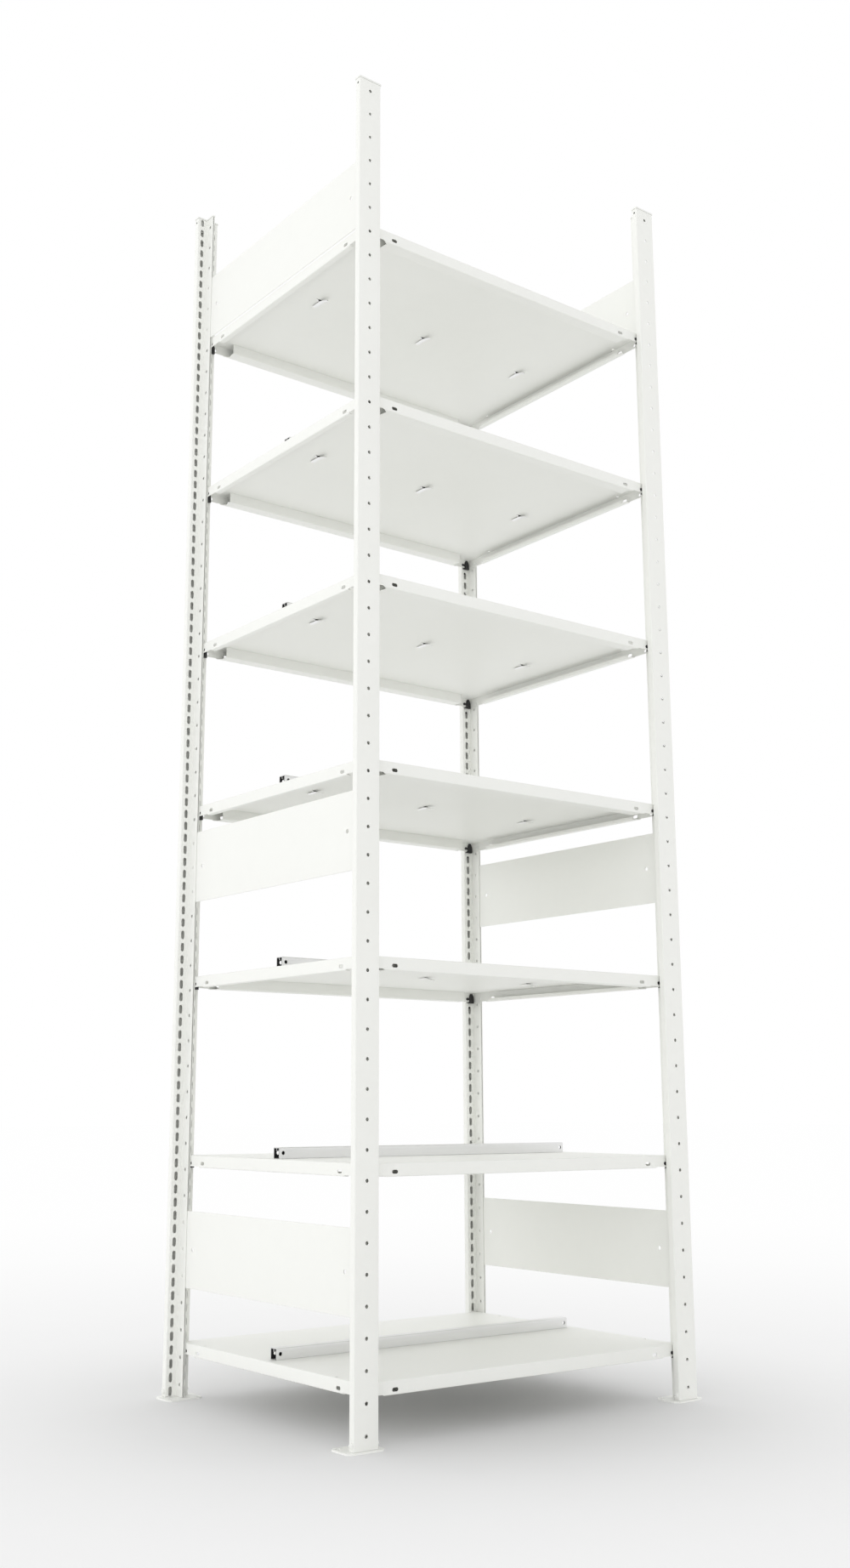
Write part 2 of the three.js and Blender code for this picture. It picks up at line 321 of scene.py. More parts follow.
top_holes = [long_hole(place, hole_pitch - rivet_height, rivet_hole, rivet_hole, stem_hole_sides)
             for place in rivet_places]
tile_edge = rectangle(0, 0, strip_width, hole_pitch)
tile_creases = [((flat, 0), (flat, hole_pitch)) for flat in fold_lines(strip_legs)]
plain_tile = blank(tile_edge, tile_holes, tile_creases)
top_tile = blank(tile_edge, tile_holes + top_holes, tile_creases)

# The punch repeats its pattern every 50 mm. The strip is put together from these tiles, which share
# the points along their seams, and its two ends are drawn in to where the foot and the cap meet it.
strip_points, strip_triangles, known = [], [], {}
for tile in range(upright_tiles):
    points, triangles = top_tile if tile == upright_tiles - 1 else plain_tile
    numbers = []
    for flat, height in points:
        z = min(max(height + hole_pitch * tile, upright_foot), upright_head)
        key = (round(flat, 3), round(z, 3))
        if key not in known:
            known[key] = len(strip_points)
            strip_points.append((flat, z))
        numbers.append(known[key])
    strip_triangles += [tuple(numbers[i] for i in triangle) for triangle in triangles]


def upright_skins(point):
    outer, inner = on_section(strip_legs, point[0], strip_sheet)
    return (outer.x, outer.y, point[1]), (inner.x, inner.y, point[1])


upright_mesh = face_outwards(make_mesh(
    "perforated_upright", [((strip_points, strip_triangles), upright_skins, bent_along(strip_legs, 0))]))
upright_coat = stoved_coat(
    "upright_powder_coat", light=(0.915, 0.921, 0.886), dark=(0.888, 0.894, 0.859), roughness=0.42)
corners = [
    ("front_left", -post_x, -post_y, 0.0, 1),
    ("front_right", post_x, -post_y, 0.0, 1),
    ("rear_left", -post_x, post_y, math.pi, -1),
    ("rear_right", post_x, post_y, math.pi, -1),
]
for corner, x, y, turned, inward in corners:
    set_up("upright." + corner, upright_mesh, upright_coat, ["upright_" + corner],
           (x, y, 0), turned)

# The feet. A 3 mm steel plate with cut-off corners and two anchor holes, welded to a short folded
# channel that stands up inside the head of the upright.
foot_half = 38
foot_front = -5
foot_back = 51.5
foot_cut = 8
foot_plate = 3
anchor_hole = 8
anchor_hole_sides = 10
anchor_aside = 27
anchor_back = 42
channel_half = 23.45
channel_front = 1.55
channel_back = 12.45
channel_sheet = 2
channel_bend = 0.8
upstand_top = 21


def two_sided(half):
    return [*half, *[(-x, y) for x, y in reversed(half)]]


def flat_plate(low, high):
    """Skins of a plate that lies flat between two heights."""
    return lambda point: ((point[0], point[1], high), (point[0], point[1], low))


def never_bent(point):
    return False


def channel(half, front, back, low, high):
    """An upright channel, open to the rear, that stands inside the head of the upright."""
    legs, _, width = press((half, back), (0, -1), [back - front, 2 * half, back - front],
                           [-1, -1], channel_bend, channel_sheet)

    def skins(point):
        outer, inner = on_section(legs, point[0], channel_sheet)
        return (inner.x, inner.y, point[1]), (outer.x, outer.y, point[1])

    creases = [((flat, low), (flat, high)) for flat in fold_lines(legs)]
    return blank(rectangle(0, low, width, high), [], creases), skins, bent_along(legs, 0)


foot_outline = two_sided([
    (foot_half - foot_cut, foot_front), (foot_half, foot_front + foot_cut),
    (foot_half, foot_back - foot_cut), (foot_half - foot_cut, foot_back)])
foot_holes = [long_hole(way * anchor_aside, anchor_back, anchor_hole, anchor_hole, anchor_hole_sides)
              for way in (-1, 1)]
foot_mesh = face_outwards(make_mesh("foot_plate", [
    (blank(foot_outline, foot_holes), flat_plate(0, foot_plate), never_bent),
    channel(channel_half, channel_front, channel_back, foot_plate, upstand_top)]))
foot_coat = stoved_coat(
    "foot_powder_coat", light=(0.92, 0.925, 0.892), dark=(0.893, 0.898, 0.865), roughness=0.46, peel=0.03)
for corner, x, y, turned, inward in corners:
    set_up("foot." + corner, foot_mesh, foot_coat, ["foot_" + corner], (x, y, 0), turned)

# The foot rivets. A blind rivet on each flank of the head holds the foot's upstand: a high domed
# head about 11 mm across, lacquered white, with the small hollow that the broken-off mandrel leaves.
rivet_profile = [
    (0.0, 2.7), (0.9, 2.7), (1.0, 3.5), (1.6, 3.7), (2.7, 3.4),
    (3.7, 2.75), (4.5, 1.85), (5.1, 0.9), (5.3, 0.05), (5.3, -0.2)]
rivet_sides = 24


def turned_mesh(name, profile, sides, crease=50):
    """A small turned part, its axis along X, from half widths and heights in millimetres."""
    places, faces = [(profile[0][1], 0, 0)], []
    for radius, height in profile[1:]:
        for i in range(sides):
            angle = 2 * math.pi * i / sides
            places.append((height, radius * math.cos(angle), radius * math.sin(angle)))
    for i in range(sides):
        faces.append((0, 1 + i, 1 + (i + 1) % sides))
    for ring in range(len(profile) - 2):
        low, high = 1 + ring * sides, 1 + (ring + 1) * sides
        for i in range(sides):
            faces.append((low + i, high + i, high + (i + 1) % sides, low + (i + 1) % sides))
    faces.append(tuple(reversed(range(len(places) - sides, len(places)))))
    mesh = bpy.data.meshes.new(name)
    mesh.from_pydata([Vector(place) * mm for place in places], [], faces)
    mesh.polygons.foreach_set("use_smooth", [True] * len(faces))
    mesh.set_sharp_from_angle(angle=math.radians(crease))
    return mesh


rivet_mesh = face_outwards(turned_mesh("rivet_head", rivet_profile, rivet_sides))
rivet_lacquer = stoved_coat(
    "rivet_lacquer", light=(0.9, 0.905, 0.875), dark=(0.86, 0.865, 0.835), roughness=0.36, peel=0.03)
for corner, x, y, turned, inward in corners:
    for way, name in ((-1, "left"), (1, "right")):
        set_up(f"foot_rivet.{corner}.{name}", rivet_mesh, rivet_lacquer, [],
               (x + way * half_width, y + inward * rivet_depth, rivet_height), 0.0 if way > 0 else math.pi)

# The caps. A moulded white plate in the T outline of the upright closes its top, with a channel
# under it that grips inside the head.
cap_over = 1.2
cap_thick = 3
unit_top = 2500
cap_round = 2
cap_edge = 0.5
spigot_bottom = 2469
spigot_half = 19.4
spigot_front = 5.4


def rounded(outline, radius, steps=3):
    """Rounds the outward corners of an outline, whose points run so that it lies on their left."""
    made = []
    count = len(outline)
    for i, corner in enumerate(outline):
        here, before, after = Vector(corner), Vector(outline[i - 1]), Vector(outline[(i + 1) % count])
        back, on = (before - here).normalized(), (after - here).normalized()
        if back.x * on.y - back.y * on.x > 0:
            made.append(corner)
            continue
        centre = here + (back + on) * radius
        for step in range(steps + 1):
            angle = math.pi / 2 * step / steps
            made.append(tuple(centre - on * radius * math.cos(angle) - back * radius * math.sin(angle)))
    return made


cap_half = half_width + cap_over
cap_stem = stem_width / 2 + cap_over
cap_outline = two_sided([
    (cap_half, -cap_over), (cap_half, head_depth + cap_over), (cap_stem, head_depth + cap_over),
    (cap_stem, head_depth + stem_length + cap_over)])
cap_mesh = face_outwards(make_mesh("post_cap", [
    (blank(rounded(cap_outline, cap_round)), flat_plate(unit_top - cap_thick, unit_top), never_bent),
    channel(spigot_half, spigot_front, channel_back, spigot_bottom, unit_top - cap_thick)]))


def moulded(name, light, dark, roughness, grain):
    """Moulded plastic: the fine spark grain of the mould, and a slow drift of tone and gloss."""
    plastic, tree = new_material(name)
    place = add_node(tree, "ShaderNodeTexCoord").outputs["Object"]
    piece = add_node(tree, "ShaderNodeObjectInfo").outputs["Random"]
    drift = add_node(tree, "ShaderNodeTexNoise", {"noise_dimensions": "4D"}, Vector=place, W=piece,
                     Scale=60.0, Detail=4.0, Roughness=0.6).outputs["Fac"]
    spark = add_node(tree, "ShaderNodeTexVoronoi", Vector=place, Scale=grain)
    bump = add_node(tree, "ShaderNodeBump", Strength=0.12, Distance=0.0002, Height=spark.outputs["Distance"])
    finish_surface(tree, toned(tree, drift, dark, light, 0.3, 0.7), drift,
                   roughness + 0.06, roughness - 0.06, bump)
    return plastic


def soften(piece, width, segments=2, angle=50):
    """Breaks the sharp edges of a moulded piece."""
    rounding = piece.modifiers.new("broken edges", "BEVEL")
    rounding.width = width * mm
    rounding.segments = segments
    rounding.limit_method = "ANGLE"
    rounding.angle_limit = math.radians(angle)
    rounding.harden_normals = True


cap_plastic = moulded(
    "cap_plastic", light=(0.895, 0.9, 0.87), dark=(0.86, 0.865, 0.835), roughness=0.5, grain=900.0)
for corner, x, y, turned, inward in corners:
    cap = set_up("cap." + corner, cap_mesh, cap_plastic, ["cap_" + corner], (x, y, 0), turned)
    soften(cap, cap_edge)

# The tray shelves. One steel sheet each: the deck with its four walls turned down, a wide flange and a
# high upstand folded in along each long edge, a narrow flange with a low lip along each short edge.
# The walls carry small round holes and short slots near the corners.
shelf_half_x = 375
shelf_half_y = 300
shelf_wall = 23
shelf_sheet = 1.2
shelf_bend = 0.8
wall_end_gap = 0.2
long_flange = 28
long_flange_end = 333
flange_notch_end = 320.5
flange_notch_in = 9
upstand_end = 322.5
upstand_high = 21.7
short_flange = 13
short_flange_end = 246
flange_nose = 3
lip_high = 7
lip_end = 236
wall_hole = 6.5
wall_hole_in = 21
end_wall_hole_in = 23.5
wall_slot_in = 68
wall_slot_wide = 13
wall_slot_high = 6.5
wall_hole_down = 14.875
wall_hole_sides = 8
deck_hole = 6
deck_hole_end = 7
deck_hole_side = 83.5
fixing_places = (-275, 0, 275)
fixing_hole = [(-11, -5.5), (1, -5.5), (0.5, 3.2)]
first_level = 75
level_step = 350
shelf_count = 7
shelf_levels = [first_level + level_step * number for number in range(shelf_count)]
deck_over_level = 27.375

side_legs, side_marks, side_flat = press(
    (0, 0), (1, 0), [shelf_half_y, shelf_wall, long_flange, upstand_high],
    [-1, -1, -1], shelf_bend, shelf_sheet)
end_legs, end_marks, end_flat = press(
    (0, 0), (1, 0), [shelf_half_x, shelf_wall, short_flange, lip_high],
    [-1, -1, -1], shelf_bend, shelf_sheet)
shelf_radius = shelf_bend + shelf_sheet
deck_x, deck_y = shelf_half_x - shelf_radius, shelf_half_y - shelf_radius
end_wall_top, end_wall_low, end_flange_in = end_legs[1]["to"], end_legs[2]["to"], end_legs[4]["to"]
side_wall_top, side_wall_low, side_flange_in = side_legs[1]["to"], side_legs[2]["to"], side_legs[4]["to"]
wall_x = shelf_half_x - shelf_sheet - wall_end_gap
wall_y = shelf_half_y - wall_end_gap
shelf_quarter = [
    (end_flat, lip_end), (end_flange_in, lip_end), (end_flange_in, short_flange_end - flange_nose),
    (end_flange_in - flange_nose / 3, short_flange_end - flange_nose / 3),
    (end_flange_in - flange_nose, short_flange_end), (end_wall_low, short_flange_end),
    (end_wall_low, wall_y), (end_wall_top, wall_y), (end_wall_top, deck_y), (deck_x, deck_y),
    (deck_x, side_wall_top), (wall_x, side_wall_top), (wall_x, side_wall_low),
    (long_flange_end, side_wall_low), (flange_notch_end, side_wall_low + flange_notch_in),
    (upstand_end, side_flange_in), (upstand_end, side_flat)]
shelf_outline = (shelf_quarter + [(-x, y) for x, y in reversed(shelf_quarter)]
                 + [(-x, -y) for x, y in shelf_quarter] + [(x, -y) for x, y in reversed(shelf_quarter)])
shelf_holes = [[(place + x, y) for x, y in fixing_hole] for place in fixing_places]
down_side, down_end = side_marks[1] + wall_hole_down, end_marks[1] + wall_hole_down
for way in (-1, 1):
    for hand in (-1, 1):
        for x, y, wide, high in (
                (hand * (shelf_half_x - wall_hole_in), way * down_side, wall_hole, wall_hole),
                (hand * (shelf_half_x - wall_slot_in), way * down_side, wall_slot_wide, wall_slot_high),
                (way * down_end, hand * (shelf_half_y - end_wall_hole_in), wall_hole, wall_hole),
                (way * down_end, hand * (shelf_half_y - wall_slot_in), wall_slot_high, wall_slot_wide),
                (way * (shelf_half_x - deck_hole_end), hand * (shelf_half_y - deck_hole_side),
                 deck_hole, deck_hole)):
            shelf_holes.append(long_hole(x, y, wide, high, wall_hole_sides))


def side_reach(flat):
    """How far a fold line along a long edge runs to either side of the middle."""
    return deck_x if flat <= side_wall_top + 1e-3 else long_flange_end


def end_reach(flat):
    """The same for a fold line along a short edge."""
    if flat <= end_wall_top + 1e-3:
        return deck_y
    return short_flange_end if flat < end_flange_in else lip_end


shelf_creases = []
for way in (-1, 1):
    shelf_creases += [((-side_reach(flat), way * flat), (side_reach(flat), way * flat))
                      for flat in fold_lines(side_legs)]
    shelf_creases += [((way * flat, -end_reach(flat)), (way * flat, end_reach(flat)))
                      for flat in fold_lines(end_legs)]


def on_side(point):
    """Whether a flat point of the tray lies on the wing of a long edge."""
    return abs(point[1]) - deck_y > abs(point[0]) - deck_x


def shelf_skins(point):
    x, y = point
    if abs(x) <= deck_x + 1e-4 and abs(y) <= deck_y + 1e-4:
        return (x, y, 0), (x, y, -shelf_sheet)
    if on_side(point):
        outer, inner = on_section(side_legs, abs(y), shelf_sheet)
        way = math.copysign(1, y)
        return (x, way * outer.x, outer.y), (x, way * inner.x, inner.y)
    outer, inner = on_section(end_legs, abs(x), shelf_sheet)
    way = math.copysign(1, x)
    return (way * outer.x, y, outer.y), (way * inner.x, y, inner.y)


def shelf_bent(point):
    if on_side(point):
        return in_bend(side_legs, abs(point[1]))
    return in_bend(end_legs, abs(point[0]))


shelf_mesh = face_outwards(make_mesh(
    "tray_shelf", [(blank(shelf_outline, shelf_holes, shelf_creases), shelf_skins, shelf_bent)]))
shelf_coat = stoved_coat(
    "shelf_powder_coat", light=(0.912, 0.918, 0.883), dark=(0.885, 0.891, 0.856), roughness=0.44)
for number, level in enumerate(shelf_levels, 1):
    set_up(f"shelf.{number}", shelf_mesh, shelf_coat, [f"shelf_{number}"],
           (0, 0, level + deck_over_level))

# The shelf clips. Moulded black hooks, the rear ones mirroring the front ones: a lip behind the web of
# the upright, a neck through the slot, a thin foot under the shelf's wall and a wedge inside the tray.
# The clips on the right also have an arm with a peg that fills the end hole of the wall.
slot_floor = 3.875
clip_neck_half = 3.4
clip_hook = [
    (10.45, -12.0), (12.45, -12.0), (12.45, 0.1), (15.4, 0.1), (15.4, -0.8),
    (19.8, -0.8), (19.8, 0.3), (16.35, 0.3), (16.35, 6.3), (10.45, 6.3)]
clip_foot = rectangle(-8.3, 15.2, 8.4, 20.2)
foot_under, foot_over = -0.9, 0.3
clip_wedge = [
    (-8.2, -0.5), (4.9, -0.5), (4.6, 14.0), (3.4, 17.6),
    (1.2, 20.6), (-3.6, 20.6), (-6.2, 16.5), (-7.7, 12.0)]
wedge_front, wedge_rear = 18.15, 20.2
clip_arm = rectangle(3.5, 6.1, 9.9, 11.1)
arm_front, arm_rear = 18.1, 19.6
peg_aside = 9.9
peg_height = 8.625
peg_radius = 3.1
peg_sides = 12
peg_front, peg_rear = 15.4, 19.7
clip_edge = 0.35


def clip_sheets(hand, pegged):
    """The parts of one clip; a hand of -1 mirrors them."""
    def neck(point):
        return (clip_neck_half, *point), (-clip_neck_half, *point)

    def lying(point):
        low, high = (foot_under, foot_over)[::hand]
        return (hand * point[0], point[1], high), (hand * point[0], point[1], low)

    def standing(front, rear):
        near, far = (front, rear)[::hand]
        return lambda point: ((hand * point[0], near, point[1]), (hand * point[0], far, point[1]))

    sheets = [
        (blank(clip_hook), neck, never_bent),
        (blank(clip_foot), lying, never_bent),
        (blank(clip_wedge), standing(wedge_front, wedge_rear), never_bent)]
    if pegged:
        peg = long_hole(peg_aside, peg_height, 2 * peg_radius, 2 * peg_radius, peg_sides)
        sheets.append((blank(clip_arm), standing(arm_front, arm_rear), never_bent))
        sheets.append((blank(peg), standing(peg_front, peg_rear), never_bent))
    return sheets


clip_meshes = {}
for corner, x, y, turned, inward in corners:
    clip_meshes[corner] = face_outwards(make_mesh("shelf_clip", clip_sheets(-inward, x > 0)))
clip_plastic = moulded(
    "clip_plastic", light=(0.026, 0.026, 0.028), dark=(0.012, 0.012, 0.013), roughness=0.5, grain=700.0)
for number, level in enumerate(shelf_levels, 1):
    for corner, x, y, turned, inward in corners:
        clip = set_up(f"shelf_clip.{number}.{corner}", clip_meshes[corner], clip_plastic,
                      [f"shelf_clip_{number}_{corner}"],
                      (x - math.copysign(slot_aside, x), y, level + slot_floor), turned)
        soften(clip, clip_edge)

# The stop bars. A channel folded from satin metal sheet lies open side down along the middle of each
# deck and keeps what stands on the shelf apart. A rib hangs down inside it along its middle, and both
# legs have a hole near each end.
bar_half = 10
bar_high = 20
bar_sheet = 1.5
bar_bend = 0.8
bar_end = 354
bar_hole = 7
bar_hole_in = 8.5
bar_hole_sides = 10
bar_seat = 0.3
bar_rib = 1.4
bar_rib_low = 13.5


def bright_metal(name, light, dark, roughness, along):
    """Drawn or plated metal: fine lines along the length, and a gloss that wanders a little."""
    metal, tree = new_material(name)
    place = add_node(tree, "ShaderNodeTexCoord").outputs["Object"]
    stretched = add_node(tree, "ShaderNodeMapping", Vector=place, Scale=along).outputs["Vector"]
    lines = add_node(tree, "ShaderNodeTexNoise", Vector=stretched, Scale=40.0, Detail=5.0,
                     Roughness=0.65).outputs["Fac"]
    cloud = add_node(tree, "ShaderNodeTexNoise", Vector=place, Scale=14.0, Detail=3.0,
                     Roughness=0.5).outputs["Fac"]
    bump = add_node(tree, "ShaderNodeBump", Strength=0.04, Distance=0.0002, Height=lines)
    finish_surface(tree, toned(tree, lines, dark, light, 0.3, 0.7), cloud,
                   roughness + 0.06, roughness - 0.05, bump, metallic=1.0)
    return metal


bar_legs, bar_marks, bar_flat = press(
    (-bar_half, 0), (0, 1), [bar_high, 2 * bar_half, bar_high], [-1, -1], bar_bend, bar_sheet)


def bar_skins(point):
    outer, inner = on_section(bar_legs, point[1], bar_sheet)
    return (point[0], outer.x, outer.y), (point[0], inner.x, inner.y)


def rib_skins(point):
    return (point[0], -bar_rib / 2, point[1]), (point[0], bar_rib / 2, point[1])


def bar_strip(legs, flat_width, hole_rows):
    """Blank of a folded strip as long as the bar, with a hole near both ends in each row."""
    return blank(
        rectangle(-bar_end, 0, bar_end, flat_width),
        [long_hole(way * (bar_end - bar_hole_in), row, bar_hole, bar_hole, bar_hole_sides)
         for way in (-1, 1) for row in hole_rows],
        [((-bar_end, flat), (bar_end, flat)) for flat in fold_lines(legs)])


bar_blank = bar_strip(bar_legs, bar_flat, [bar_marks[run] + bar_high / 2 for run in (0, 2)])
rib = blank(rectangle(-bar_end, bar_rib_low, bar_end, bar_high - bar_sheet))
bar_mesh = face_outwards(make_mesh("stop_bar", [
    (bar_blank, bar_skins, bent_along(bar_legs, 1)), (rib, rib_skins, never_bent)]))
bar_metal = bright_metal(
    "bar_satin_metal", light=(0.83, 0.832, 0.825), dark=(0.76, 0.762, 0.755), roughness=0.38,
    along=(0.04, 1, 1))
for number, level in enumerate(shelf_levels, 1):
    set_up(f"stop_bar.{number}", bar_mesh, bar_metal, [f"stop_bar_{number}"],
           (0, 0, level + deck_over_level + bar_seat))

# The bar liners. A black sheet lines each stop bar inside, one strip against each leg and the
# top, in front of the rib and behind it, and keeps the inside of the channel dark; the holes near the ends
# go through it.
liner_gap = 0.15
liner_sheet = 1.0
liner_half = bar_half - bar_sheet - liner_gap
liner_top = bar_high - bar_sheet - liner_gap
liner_in = bar_rib / 2 + liner_gap
liner_legs, _, liner_flat = press(
    (-liner_half, liner_gap), (0, 1), [liner_top - liner_gap, liner_half - liner_in], [-1],
    bar_bend, liner_sheet)


def liner_skins(way):
    """Skins of the strip in front of the rib, with a way of -1, or behind it."""
    def skins(point):
        outer, inner = on_section(liner_legs, point[1], liner_sheet)
        return (point[0], way * -outer.x, outer.y), (point[0], way * -inner.x, inner.y)

    return skins


liner_blank = bar_strip(liner_legs, liner_flat, [bar_high / 2 - liner_gap])
liner_meshes = {}
for way in (-1, 1):
    liner_meshes[way] = face_outwards(make_mesh("bar_liner", [
        (liner_blank, liner_skins(way), bent_along(liner_legs, 1))]))
for number, level in enumerate(shelf_levels, 1):
    for way, name in ((-1, "front"), (1, "rear")):
        set_up(f"bar_liner.{number}.{name}", liner_meshes[way], clip_plastic, [],
               (0, 0, level + deck_over_level + bar_seat))

# The bar fixings. Three bright spring clips under each deck hold the stop bar: a strip across the
# bar's line with a cross tongue in its middle.
fixing_half_wide = 4.75
fixing_sheet = 0.9
fixing_corner = 1.2
fixing_line = [(-23, -6.8), (-4.5, -1.9), (3, -1.5), (25, -1.9)]
tongue_outline = [(-13.5, -4.6), (-11.8, -6), (0, 3), (5, 2.2), (8, 1.8), (8.6, 4.6), (0, 6), (-3.4, 5)]
tongue_top = -0.3


def fixing_skins(point):
    """The strip follows its bent line, whose heights count from the deck's underside."""
    for (near, low), (far, high) in zip(fixing_line, fixing_line[1:]):
        if point[1] <= far + 1e-6:
            break
    top = low + (high - low) * (point[1] - near) / (far - near) - shelf_sheet
    return (point[0], point[1], top), (point[0], point[1], top - fixing_sheet)


fixing_front, fixing_rear = fixing_line[0][0], fixing_line[-1][0]
fixing_outline = [
    (-fixing_half_wide, fixing_front), (fixing_half_wide, fixing_front),
    (fixing_half_wide, fixing_rear), (-fixing_half_wide, fixing_rear)]
fixing_creases = [((-fixing_half_wide, row), (fixing_half_wide, row)) for row, _ in fixing_line[1:-1]]
fixing_strip = blank(rounded(fixing_outline, fixing_corner), [], fixing_creases)
tongue_high = tongue_top - shelf_sheet
fixing_mesh = face_outwards(make_mesh("bar_fixing", [
    (fixing_strip, fixing_skins, never_bent),
    (blank(tongue_outline), flat_plate(tongue_high - fixing_sheet, tongue_high), never_bent)]))
fixing_metal = bright_metal(
    "fixing_zinc", light=(0.91, 0.91, 0.905), dark=(0.86, 0.86, 0.855), roughness=0.3, along=(1, 0.2, 1))
for number, level in enumerate(shelf_levels, 1):
    for place, name in zip(fixing_places, ("left", "middle", "right")):
        set_up(f"bar_fixing.{number}.{name}", fixing_mesh, fixing_metal, [],
               (place, 0, level + deck_over_level))

# The side panels. One coated steel sheet is folded round into a flat double wall, closed along its
# lower edge, and slid into the grooves of the front and rear uprights. A hole near each end stays
# clear of the stems.
panel_high = 144
panel_thick = 1.6
panel_sheet = 0.6
panel_half = 296
panel_seam = 0.1
panel_hole = 8
panel_hole_sides = 10
panel_hole_from_middle = 254.65
panel_rows = [("bottom", 275), ("middle", 1025), ("top", 2275)]
panel_legs, panel_marks, panel_flat = press(
    (panel_thick / 2 - panel_sheet - panel_seam, -panel_high / 2), (-1, 0),
    [panel_thick - panel_sheet - panel_seam, panel_high, panel_thick, panel_high], [-1, -1, -1],
    panel_thick / 2 - panel_sheet, panel_sheet)


def panel_skins(point):
    outer, inner = on_section(panel_legs, point[0], panel_sheet)
    return (outer.x, point[1], outer.y), (inner.x, point[1], inner.y)


panel_holes = [
    long_hole(panel_marks[wall] + panel_high / 2, way * panel_hole_from_middle,
              panel_hole, panel_hole, panel_hole_sides)
    for wall in (1, 3) for way in (-1, 1)]
panel_creases = [((flat, -panel_half), (flat, panel_half)) for flat in fold_lines(panel_legs)]
panel_blank = blank(rectangle(0, -panel_half, panel_flat, panel_half), panel_holes, panel_creases)
panel_mesh = face_outwards(make_mesh(
    "side_panel", [(panel_blank, panel_skins, bent_along(panel_legs, 0))]))
panel_coat = stoved_coat(
    "panel_powder_coat", light=(0.915, 0.921, 0.886), dark=(0.888, 0.894, 0.859), roughness=0.42)
for flank, x, turned in (("left", -post_x, 0.0), ("right", post_x, math.pi)):
    for row, height in panel_rows:
        set_up(f"side_panel.{flank}.{row}", panel_mesh, panel_coat,
               [f"side_panel_{flank}_{row}"], (x, 0, height), turned)

# The studio floor. A pale matt floor, darker close to the unit, that fades into white with the
# distance. The darkness close to the unit is partly its real shadow and partly painted shade: the
# camera sees a darker floor than the one that lights the unit, and the fade keeps it darkest near
# the unit. The fade shows only to the camera and in reflections, so the floor lights the unit evenly.
floor_half = 40.0
fade_end = 5.0
# How much white the camera sees at each distance from the unit: kept low close to the unit, which paints
# shade round it; further out the floor fades into white.
fade_and_painted_shade_stops = [
    (0.2, 0.0), (0.35, 0.06), (0.5, 0.22), (0.7, 0.47), (0.9, 0.6),
    (1.1, 0.67), (1.5, 0.74), (2.2, 0.85), (3.0, 0.92)]
floor_dark = (0.69, 0.69, 0.69)
floor_light = (0.71, 0.71, 0.71)
floor_unseen = (0.93, 0.93, 0.93, 1)
floor_mesh = bpy.data.meshes.new("studio_floor")
floor_edge = rectangle(-floor_half, -floor_half, floor_half, floor_half)
floor_mesh.from_pydata([(x, y, 0) for x, y in floor_edge], [], [(0, 1, 2, 3)])
floor = bpy.data.objects.new("studio_floor", floor_mesh)
bpy.context.scene.collection.objects.link(floor)


def seen_by_ray(tree):
    """1 for what the camera sees, straight, in a reflection or through glass, and 0 for what lights."""
    path = add_node(tree, "ShaderNodeLightPath").outputs
    seen = reckon(tree, "ShaderNodeMath", "MAXIMUM", path["Is Camera Ray"], path["Is Glossy Ray"])
    return reckon(tree, "ShaderNodeMath", "MAXIMUM", seen, path["Is Transmission Ray"])


floor_paint, tree = new_material("studio_floor_paint")
floor_place = add_node(tree, "ShaderNodeTexCoord").outputs["Object"]
away = reckon(tree, "ShaderNodeVectorMath", "LENGTH", floor_place)
far = add_node(tree, "ShaderNodeMapRange", Value=away, From_Min=0.0, From_Max=fade_end,
               To_Min=0.0, To_Max=1.0)
fade = add_node(tree, "ShaderNodeValToRGB", Fac=far.outputs["Result"])
fade.color_ramp.interpolation = "B_SPLINE"
for reach, white_share in fade_and_painted_shade_stops:
    stop = fade.color_ramp.elements.new(reach / fade_end)
    stop.color = (white_share, white_share, white_share, 1)
speck = add_node(tree, "ShaderNodeTexNoise", Vector=floor_place, Scale=9.0, Detail=4.0)
# The floor as the camera sees it, darker than the floor that lights the unit: painted shade.
floor_painted_shade = toned(tree, speck.outputs["Fac"], floor_dark, floor_light, 0.0, 1.0)
seen = seen_by_ray(tree)
paint = add_node(tree, "ShaderNodeMix", {"data_type": "RGBA"}, Factor=seen)
colour_unseen, colour_seen, colour_made = paint.inputs[6], paint.inputs[7], paint.outputs[2]
feed(tree, colour_unseen, floor_unseen)
feed(tree, colour_seen, floor_painted_shade)
matt = add_node(tree, "ShaderNodeBsdfDiffuse", Color=colour_made)
white = add_node(tree, "ShaderNodeEmission", Color=(1, 1, 1, 1), Strength=1.0)
white_amount = reckon(tree, "ShaderNodeMath", "MULTIPLY", seen, fade.outputs["Color"])
mixed = add_node(tree, "ShaderNodeMixShader", Fac=white_amount)
feed(tree, mixed.inputs[1], matt.outputs["BSDF"])
feed(tree, mixed.inputs[2], white.outputs["Emission"])
add_node(tree, "ShaderNodeOutputMaterial", Surface=mixed.outputs["Shader"])
floor_mesh.materials.append(floor_paint)

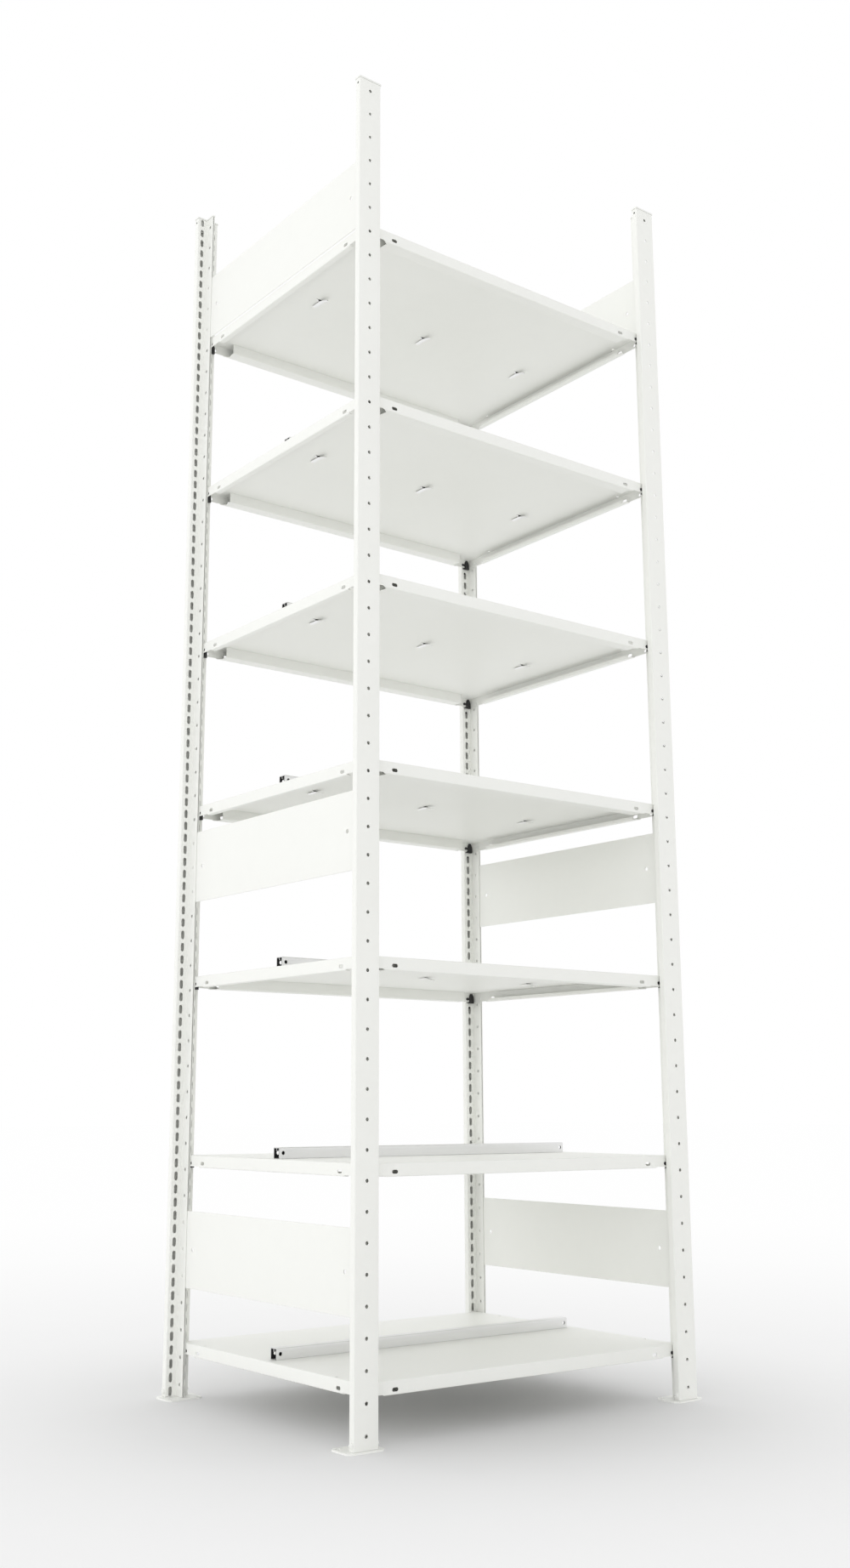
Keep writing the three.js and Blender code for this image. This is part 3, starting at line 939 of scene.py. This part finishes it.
# The studio light. Even white light comes from all round, with more from the left, the rear and the
# right, each given as the side it comes from, how narrow it is and how strong. A broad, weak lamp
# stands to the left. The camera sees the surroundings as plain white.
all_round = 0.563
side_lights = [
    ((-1, -1, 0), 4.0, 1.05),
    ((-1, 0, 0), 4.0, 0.36),
    ((-1, 1, 0), 4.0, 0.49),
    ((0, 1, 0), 1.0, 0.73),
    ((1, 0, 0), 1.0, 0.625),
]
lamp_side = 3.0
lamp_power = 2.0
lamp_place = (-4.5, -1.2, 1.6)
lamp_aim = (0, 0, 1.2)
world = bpy.data.worlds.new("studio_light")
bpy.context.scene.world = world
world.use_nodes = True
tree = world.node_tree
tree.nodes.clear()
seen = seen_by_ray(tree)
way_out = add_node(tree, "ShaderNodeTexCoord").outputs["Generated"]
lit = all_round
for toward, focus, strength in side_lights:
    facing = reckon(tree, "ShaderNodeVectorMath", "DOT_PRODUCT", way_out, Vector(toward).normalized())
    front = reckon(tree, "ShaderNodeMath", "MAXIMUM", facing, 0.0)
    narrow = reckon(tree, "ShaderNodeMath", "POWER", front, focus)
    lit = reckon(tree, "ShaderNodeMath", "MULTIPLY_ADD", narrow, strength, lit)
sky_level = add_node(tree, "ShaderNodeMix", {"data_type": "FLOAT"}, Factor=seen, A=lit, B=1.0)
sky = add_node(tree, "ShaderNodeBackground", Color=(1, 1, 1, 1), Strength=sky_level.outputs["Result"])
add_node(tree, "ShaderNodeOutputWorld", Surface=sky.outputs["Background"])

lamp_data = bpy.data.lights.new("broad_lamp", "AREA")
lamp_data.shape = "RECTANGLE"
lamp_data.size = lamp_side
lamp_data.size_y = lamp_side
lamp_data.energy = lamp_power
lamp = bpy.data.objects.new("broad_lamp", lamp_data)
lamp.location = lamp_place
lamp.rotation_euler = (Vector(lamp_aim) - lamp.location).to_track_quat("-Z", "Y").to_euler()
bpy.context.scene.collection.objects.link(lamp)

# The camera. It stands about half a metre above the floor, off the front left corner, and looks up
# along the unit. Its lens, place and turn were worked out from the rows of holes and slots.
camera_lens = 35.97
camera_sensor = 36.0
camera_shift = (0.0222, -0.0091)
camera_place = (-1.96946, -2.49762, 0.54630)
camera_tilt = 102.13
camera_turn = -36.93
camera_data = bpy.data.cameras.new("camera")
camera_data.lens = camera_lens
camera_data.sensor_width = camera_sensor
camera_data.shift_x, camera_data.shift_y = camera_shift
camera = bpy.data.objects.new("camera", camera_data)
camera.location = camera_place
camera.rotation_euler = (math.radians(camera_tilt), 0, math.radians(camera_turn))
bpy.context.scene.collection.objects.link(camera)
bpy.context.scene.camera = camera
bpy.context.scene.view_settings.view_transform = "Standard"

bpy.context.view_layer.update()
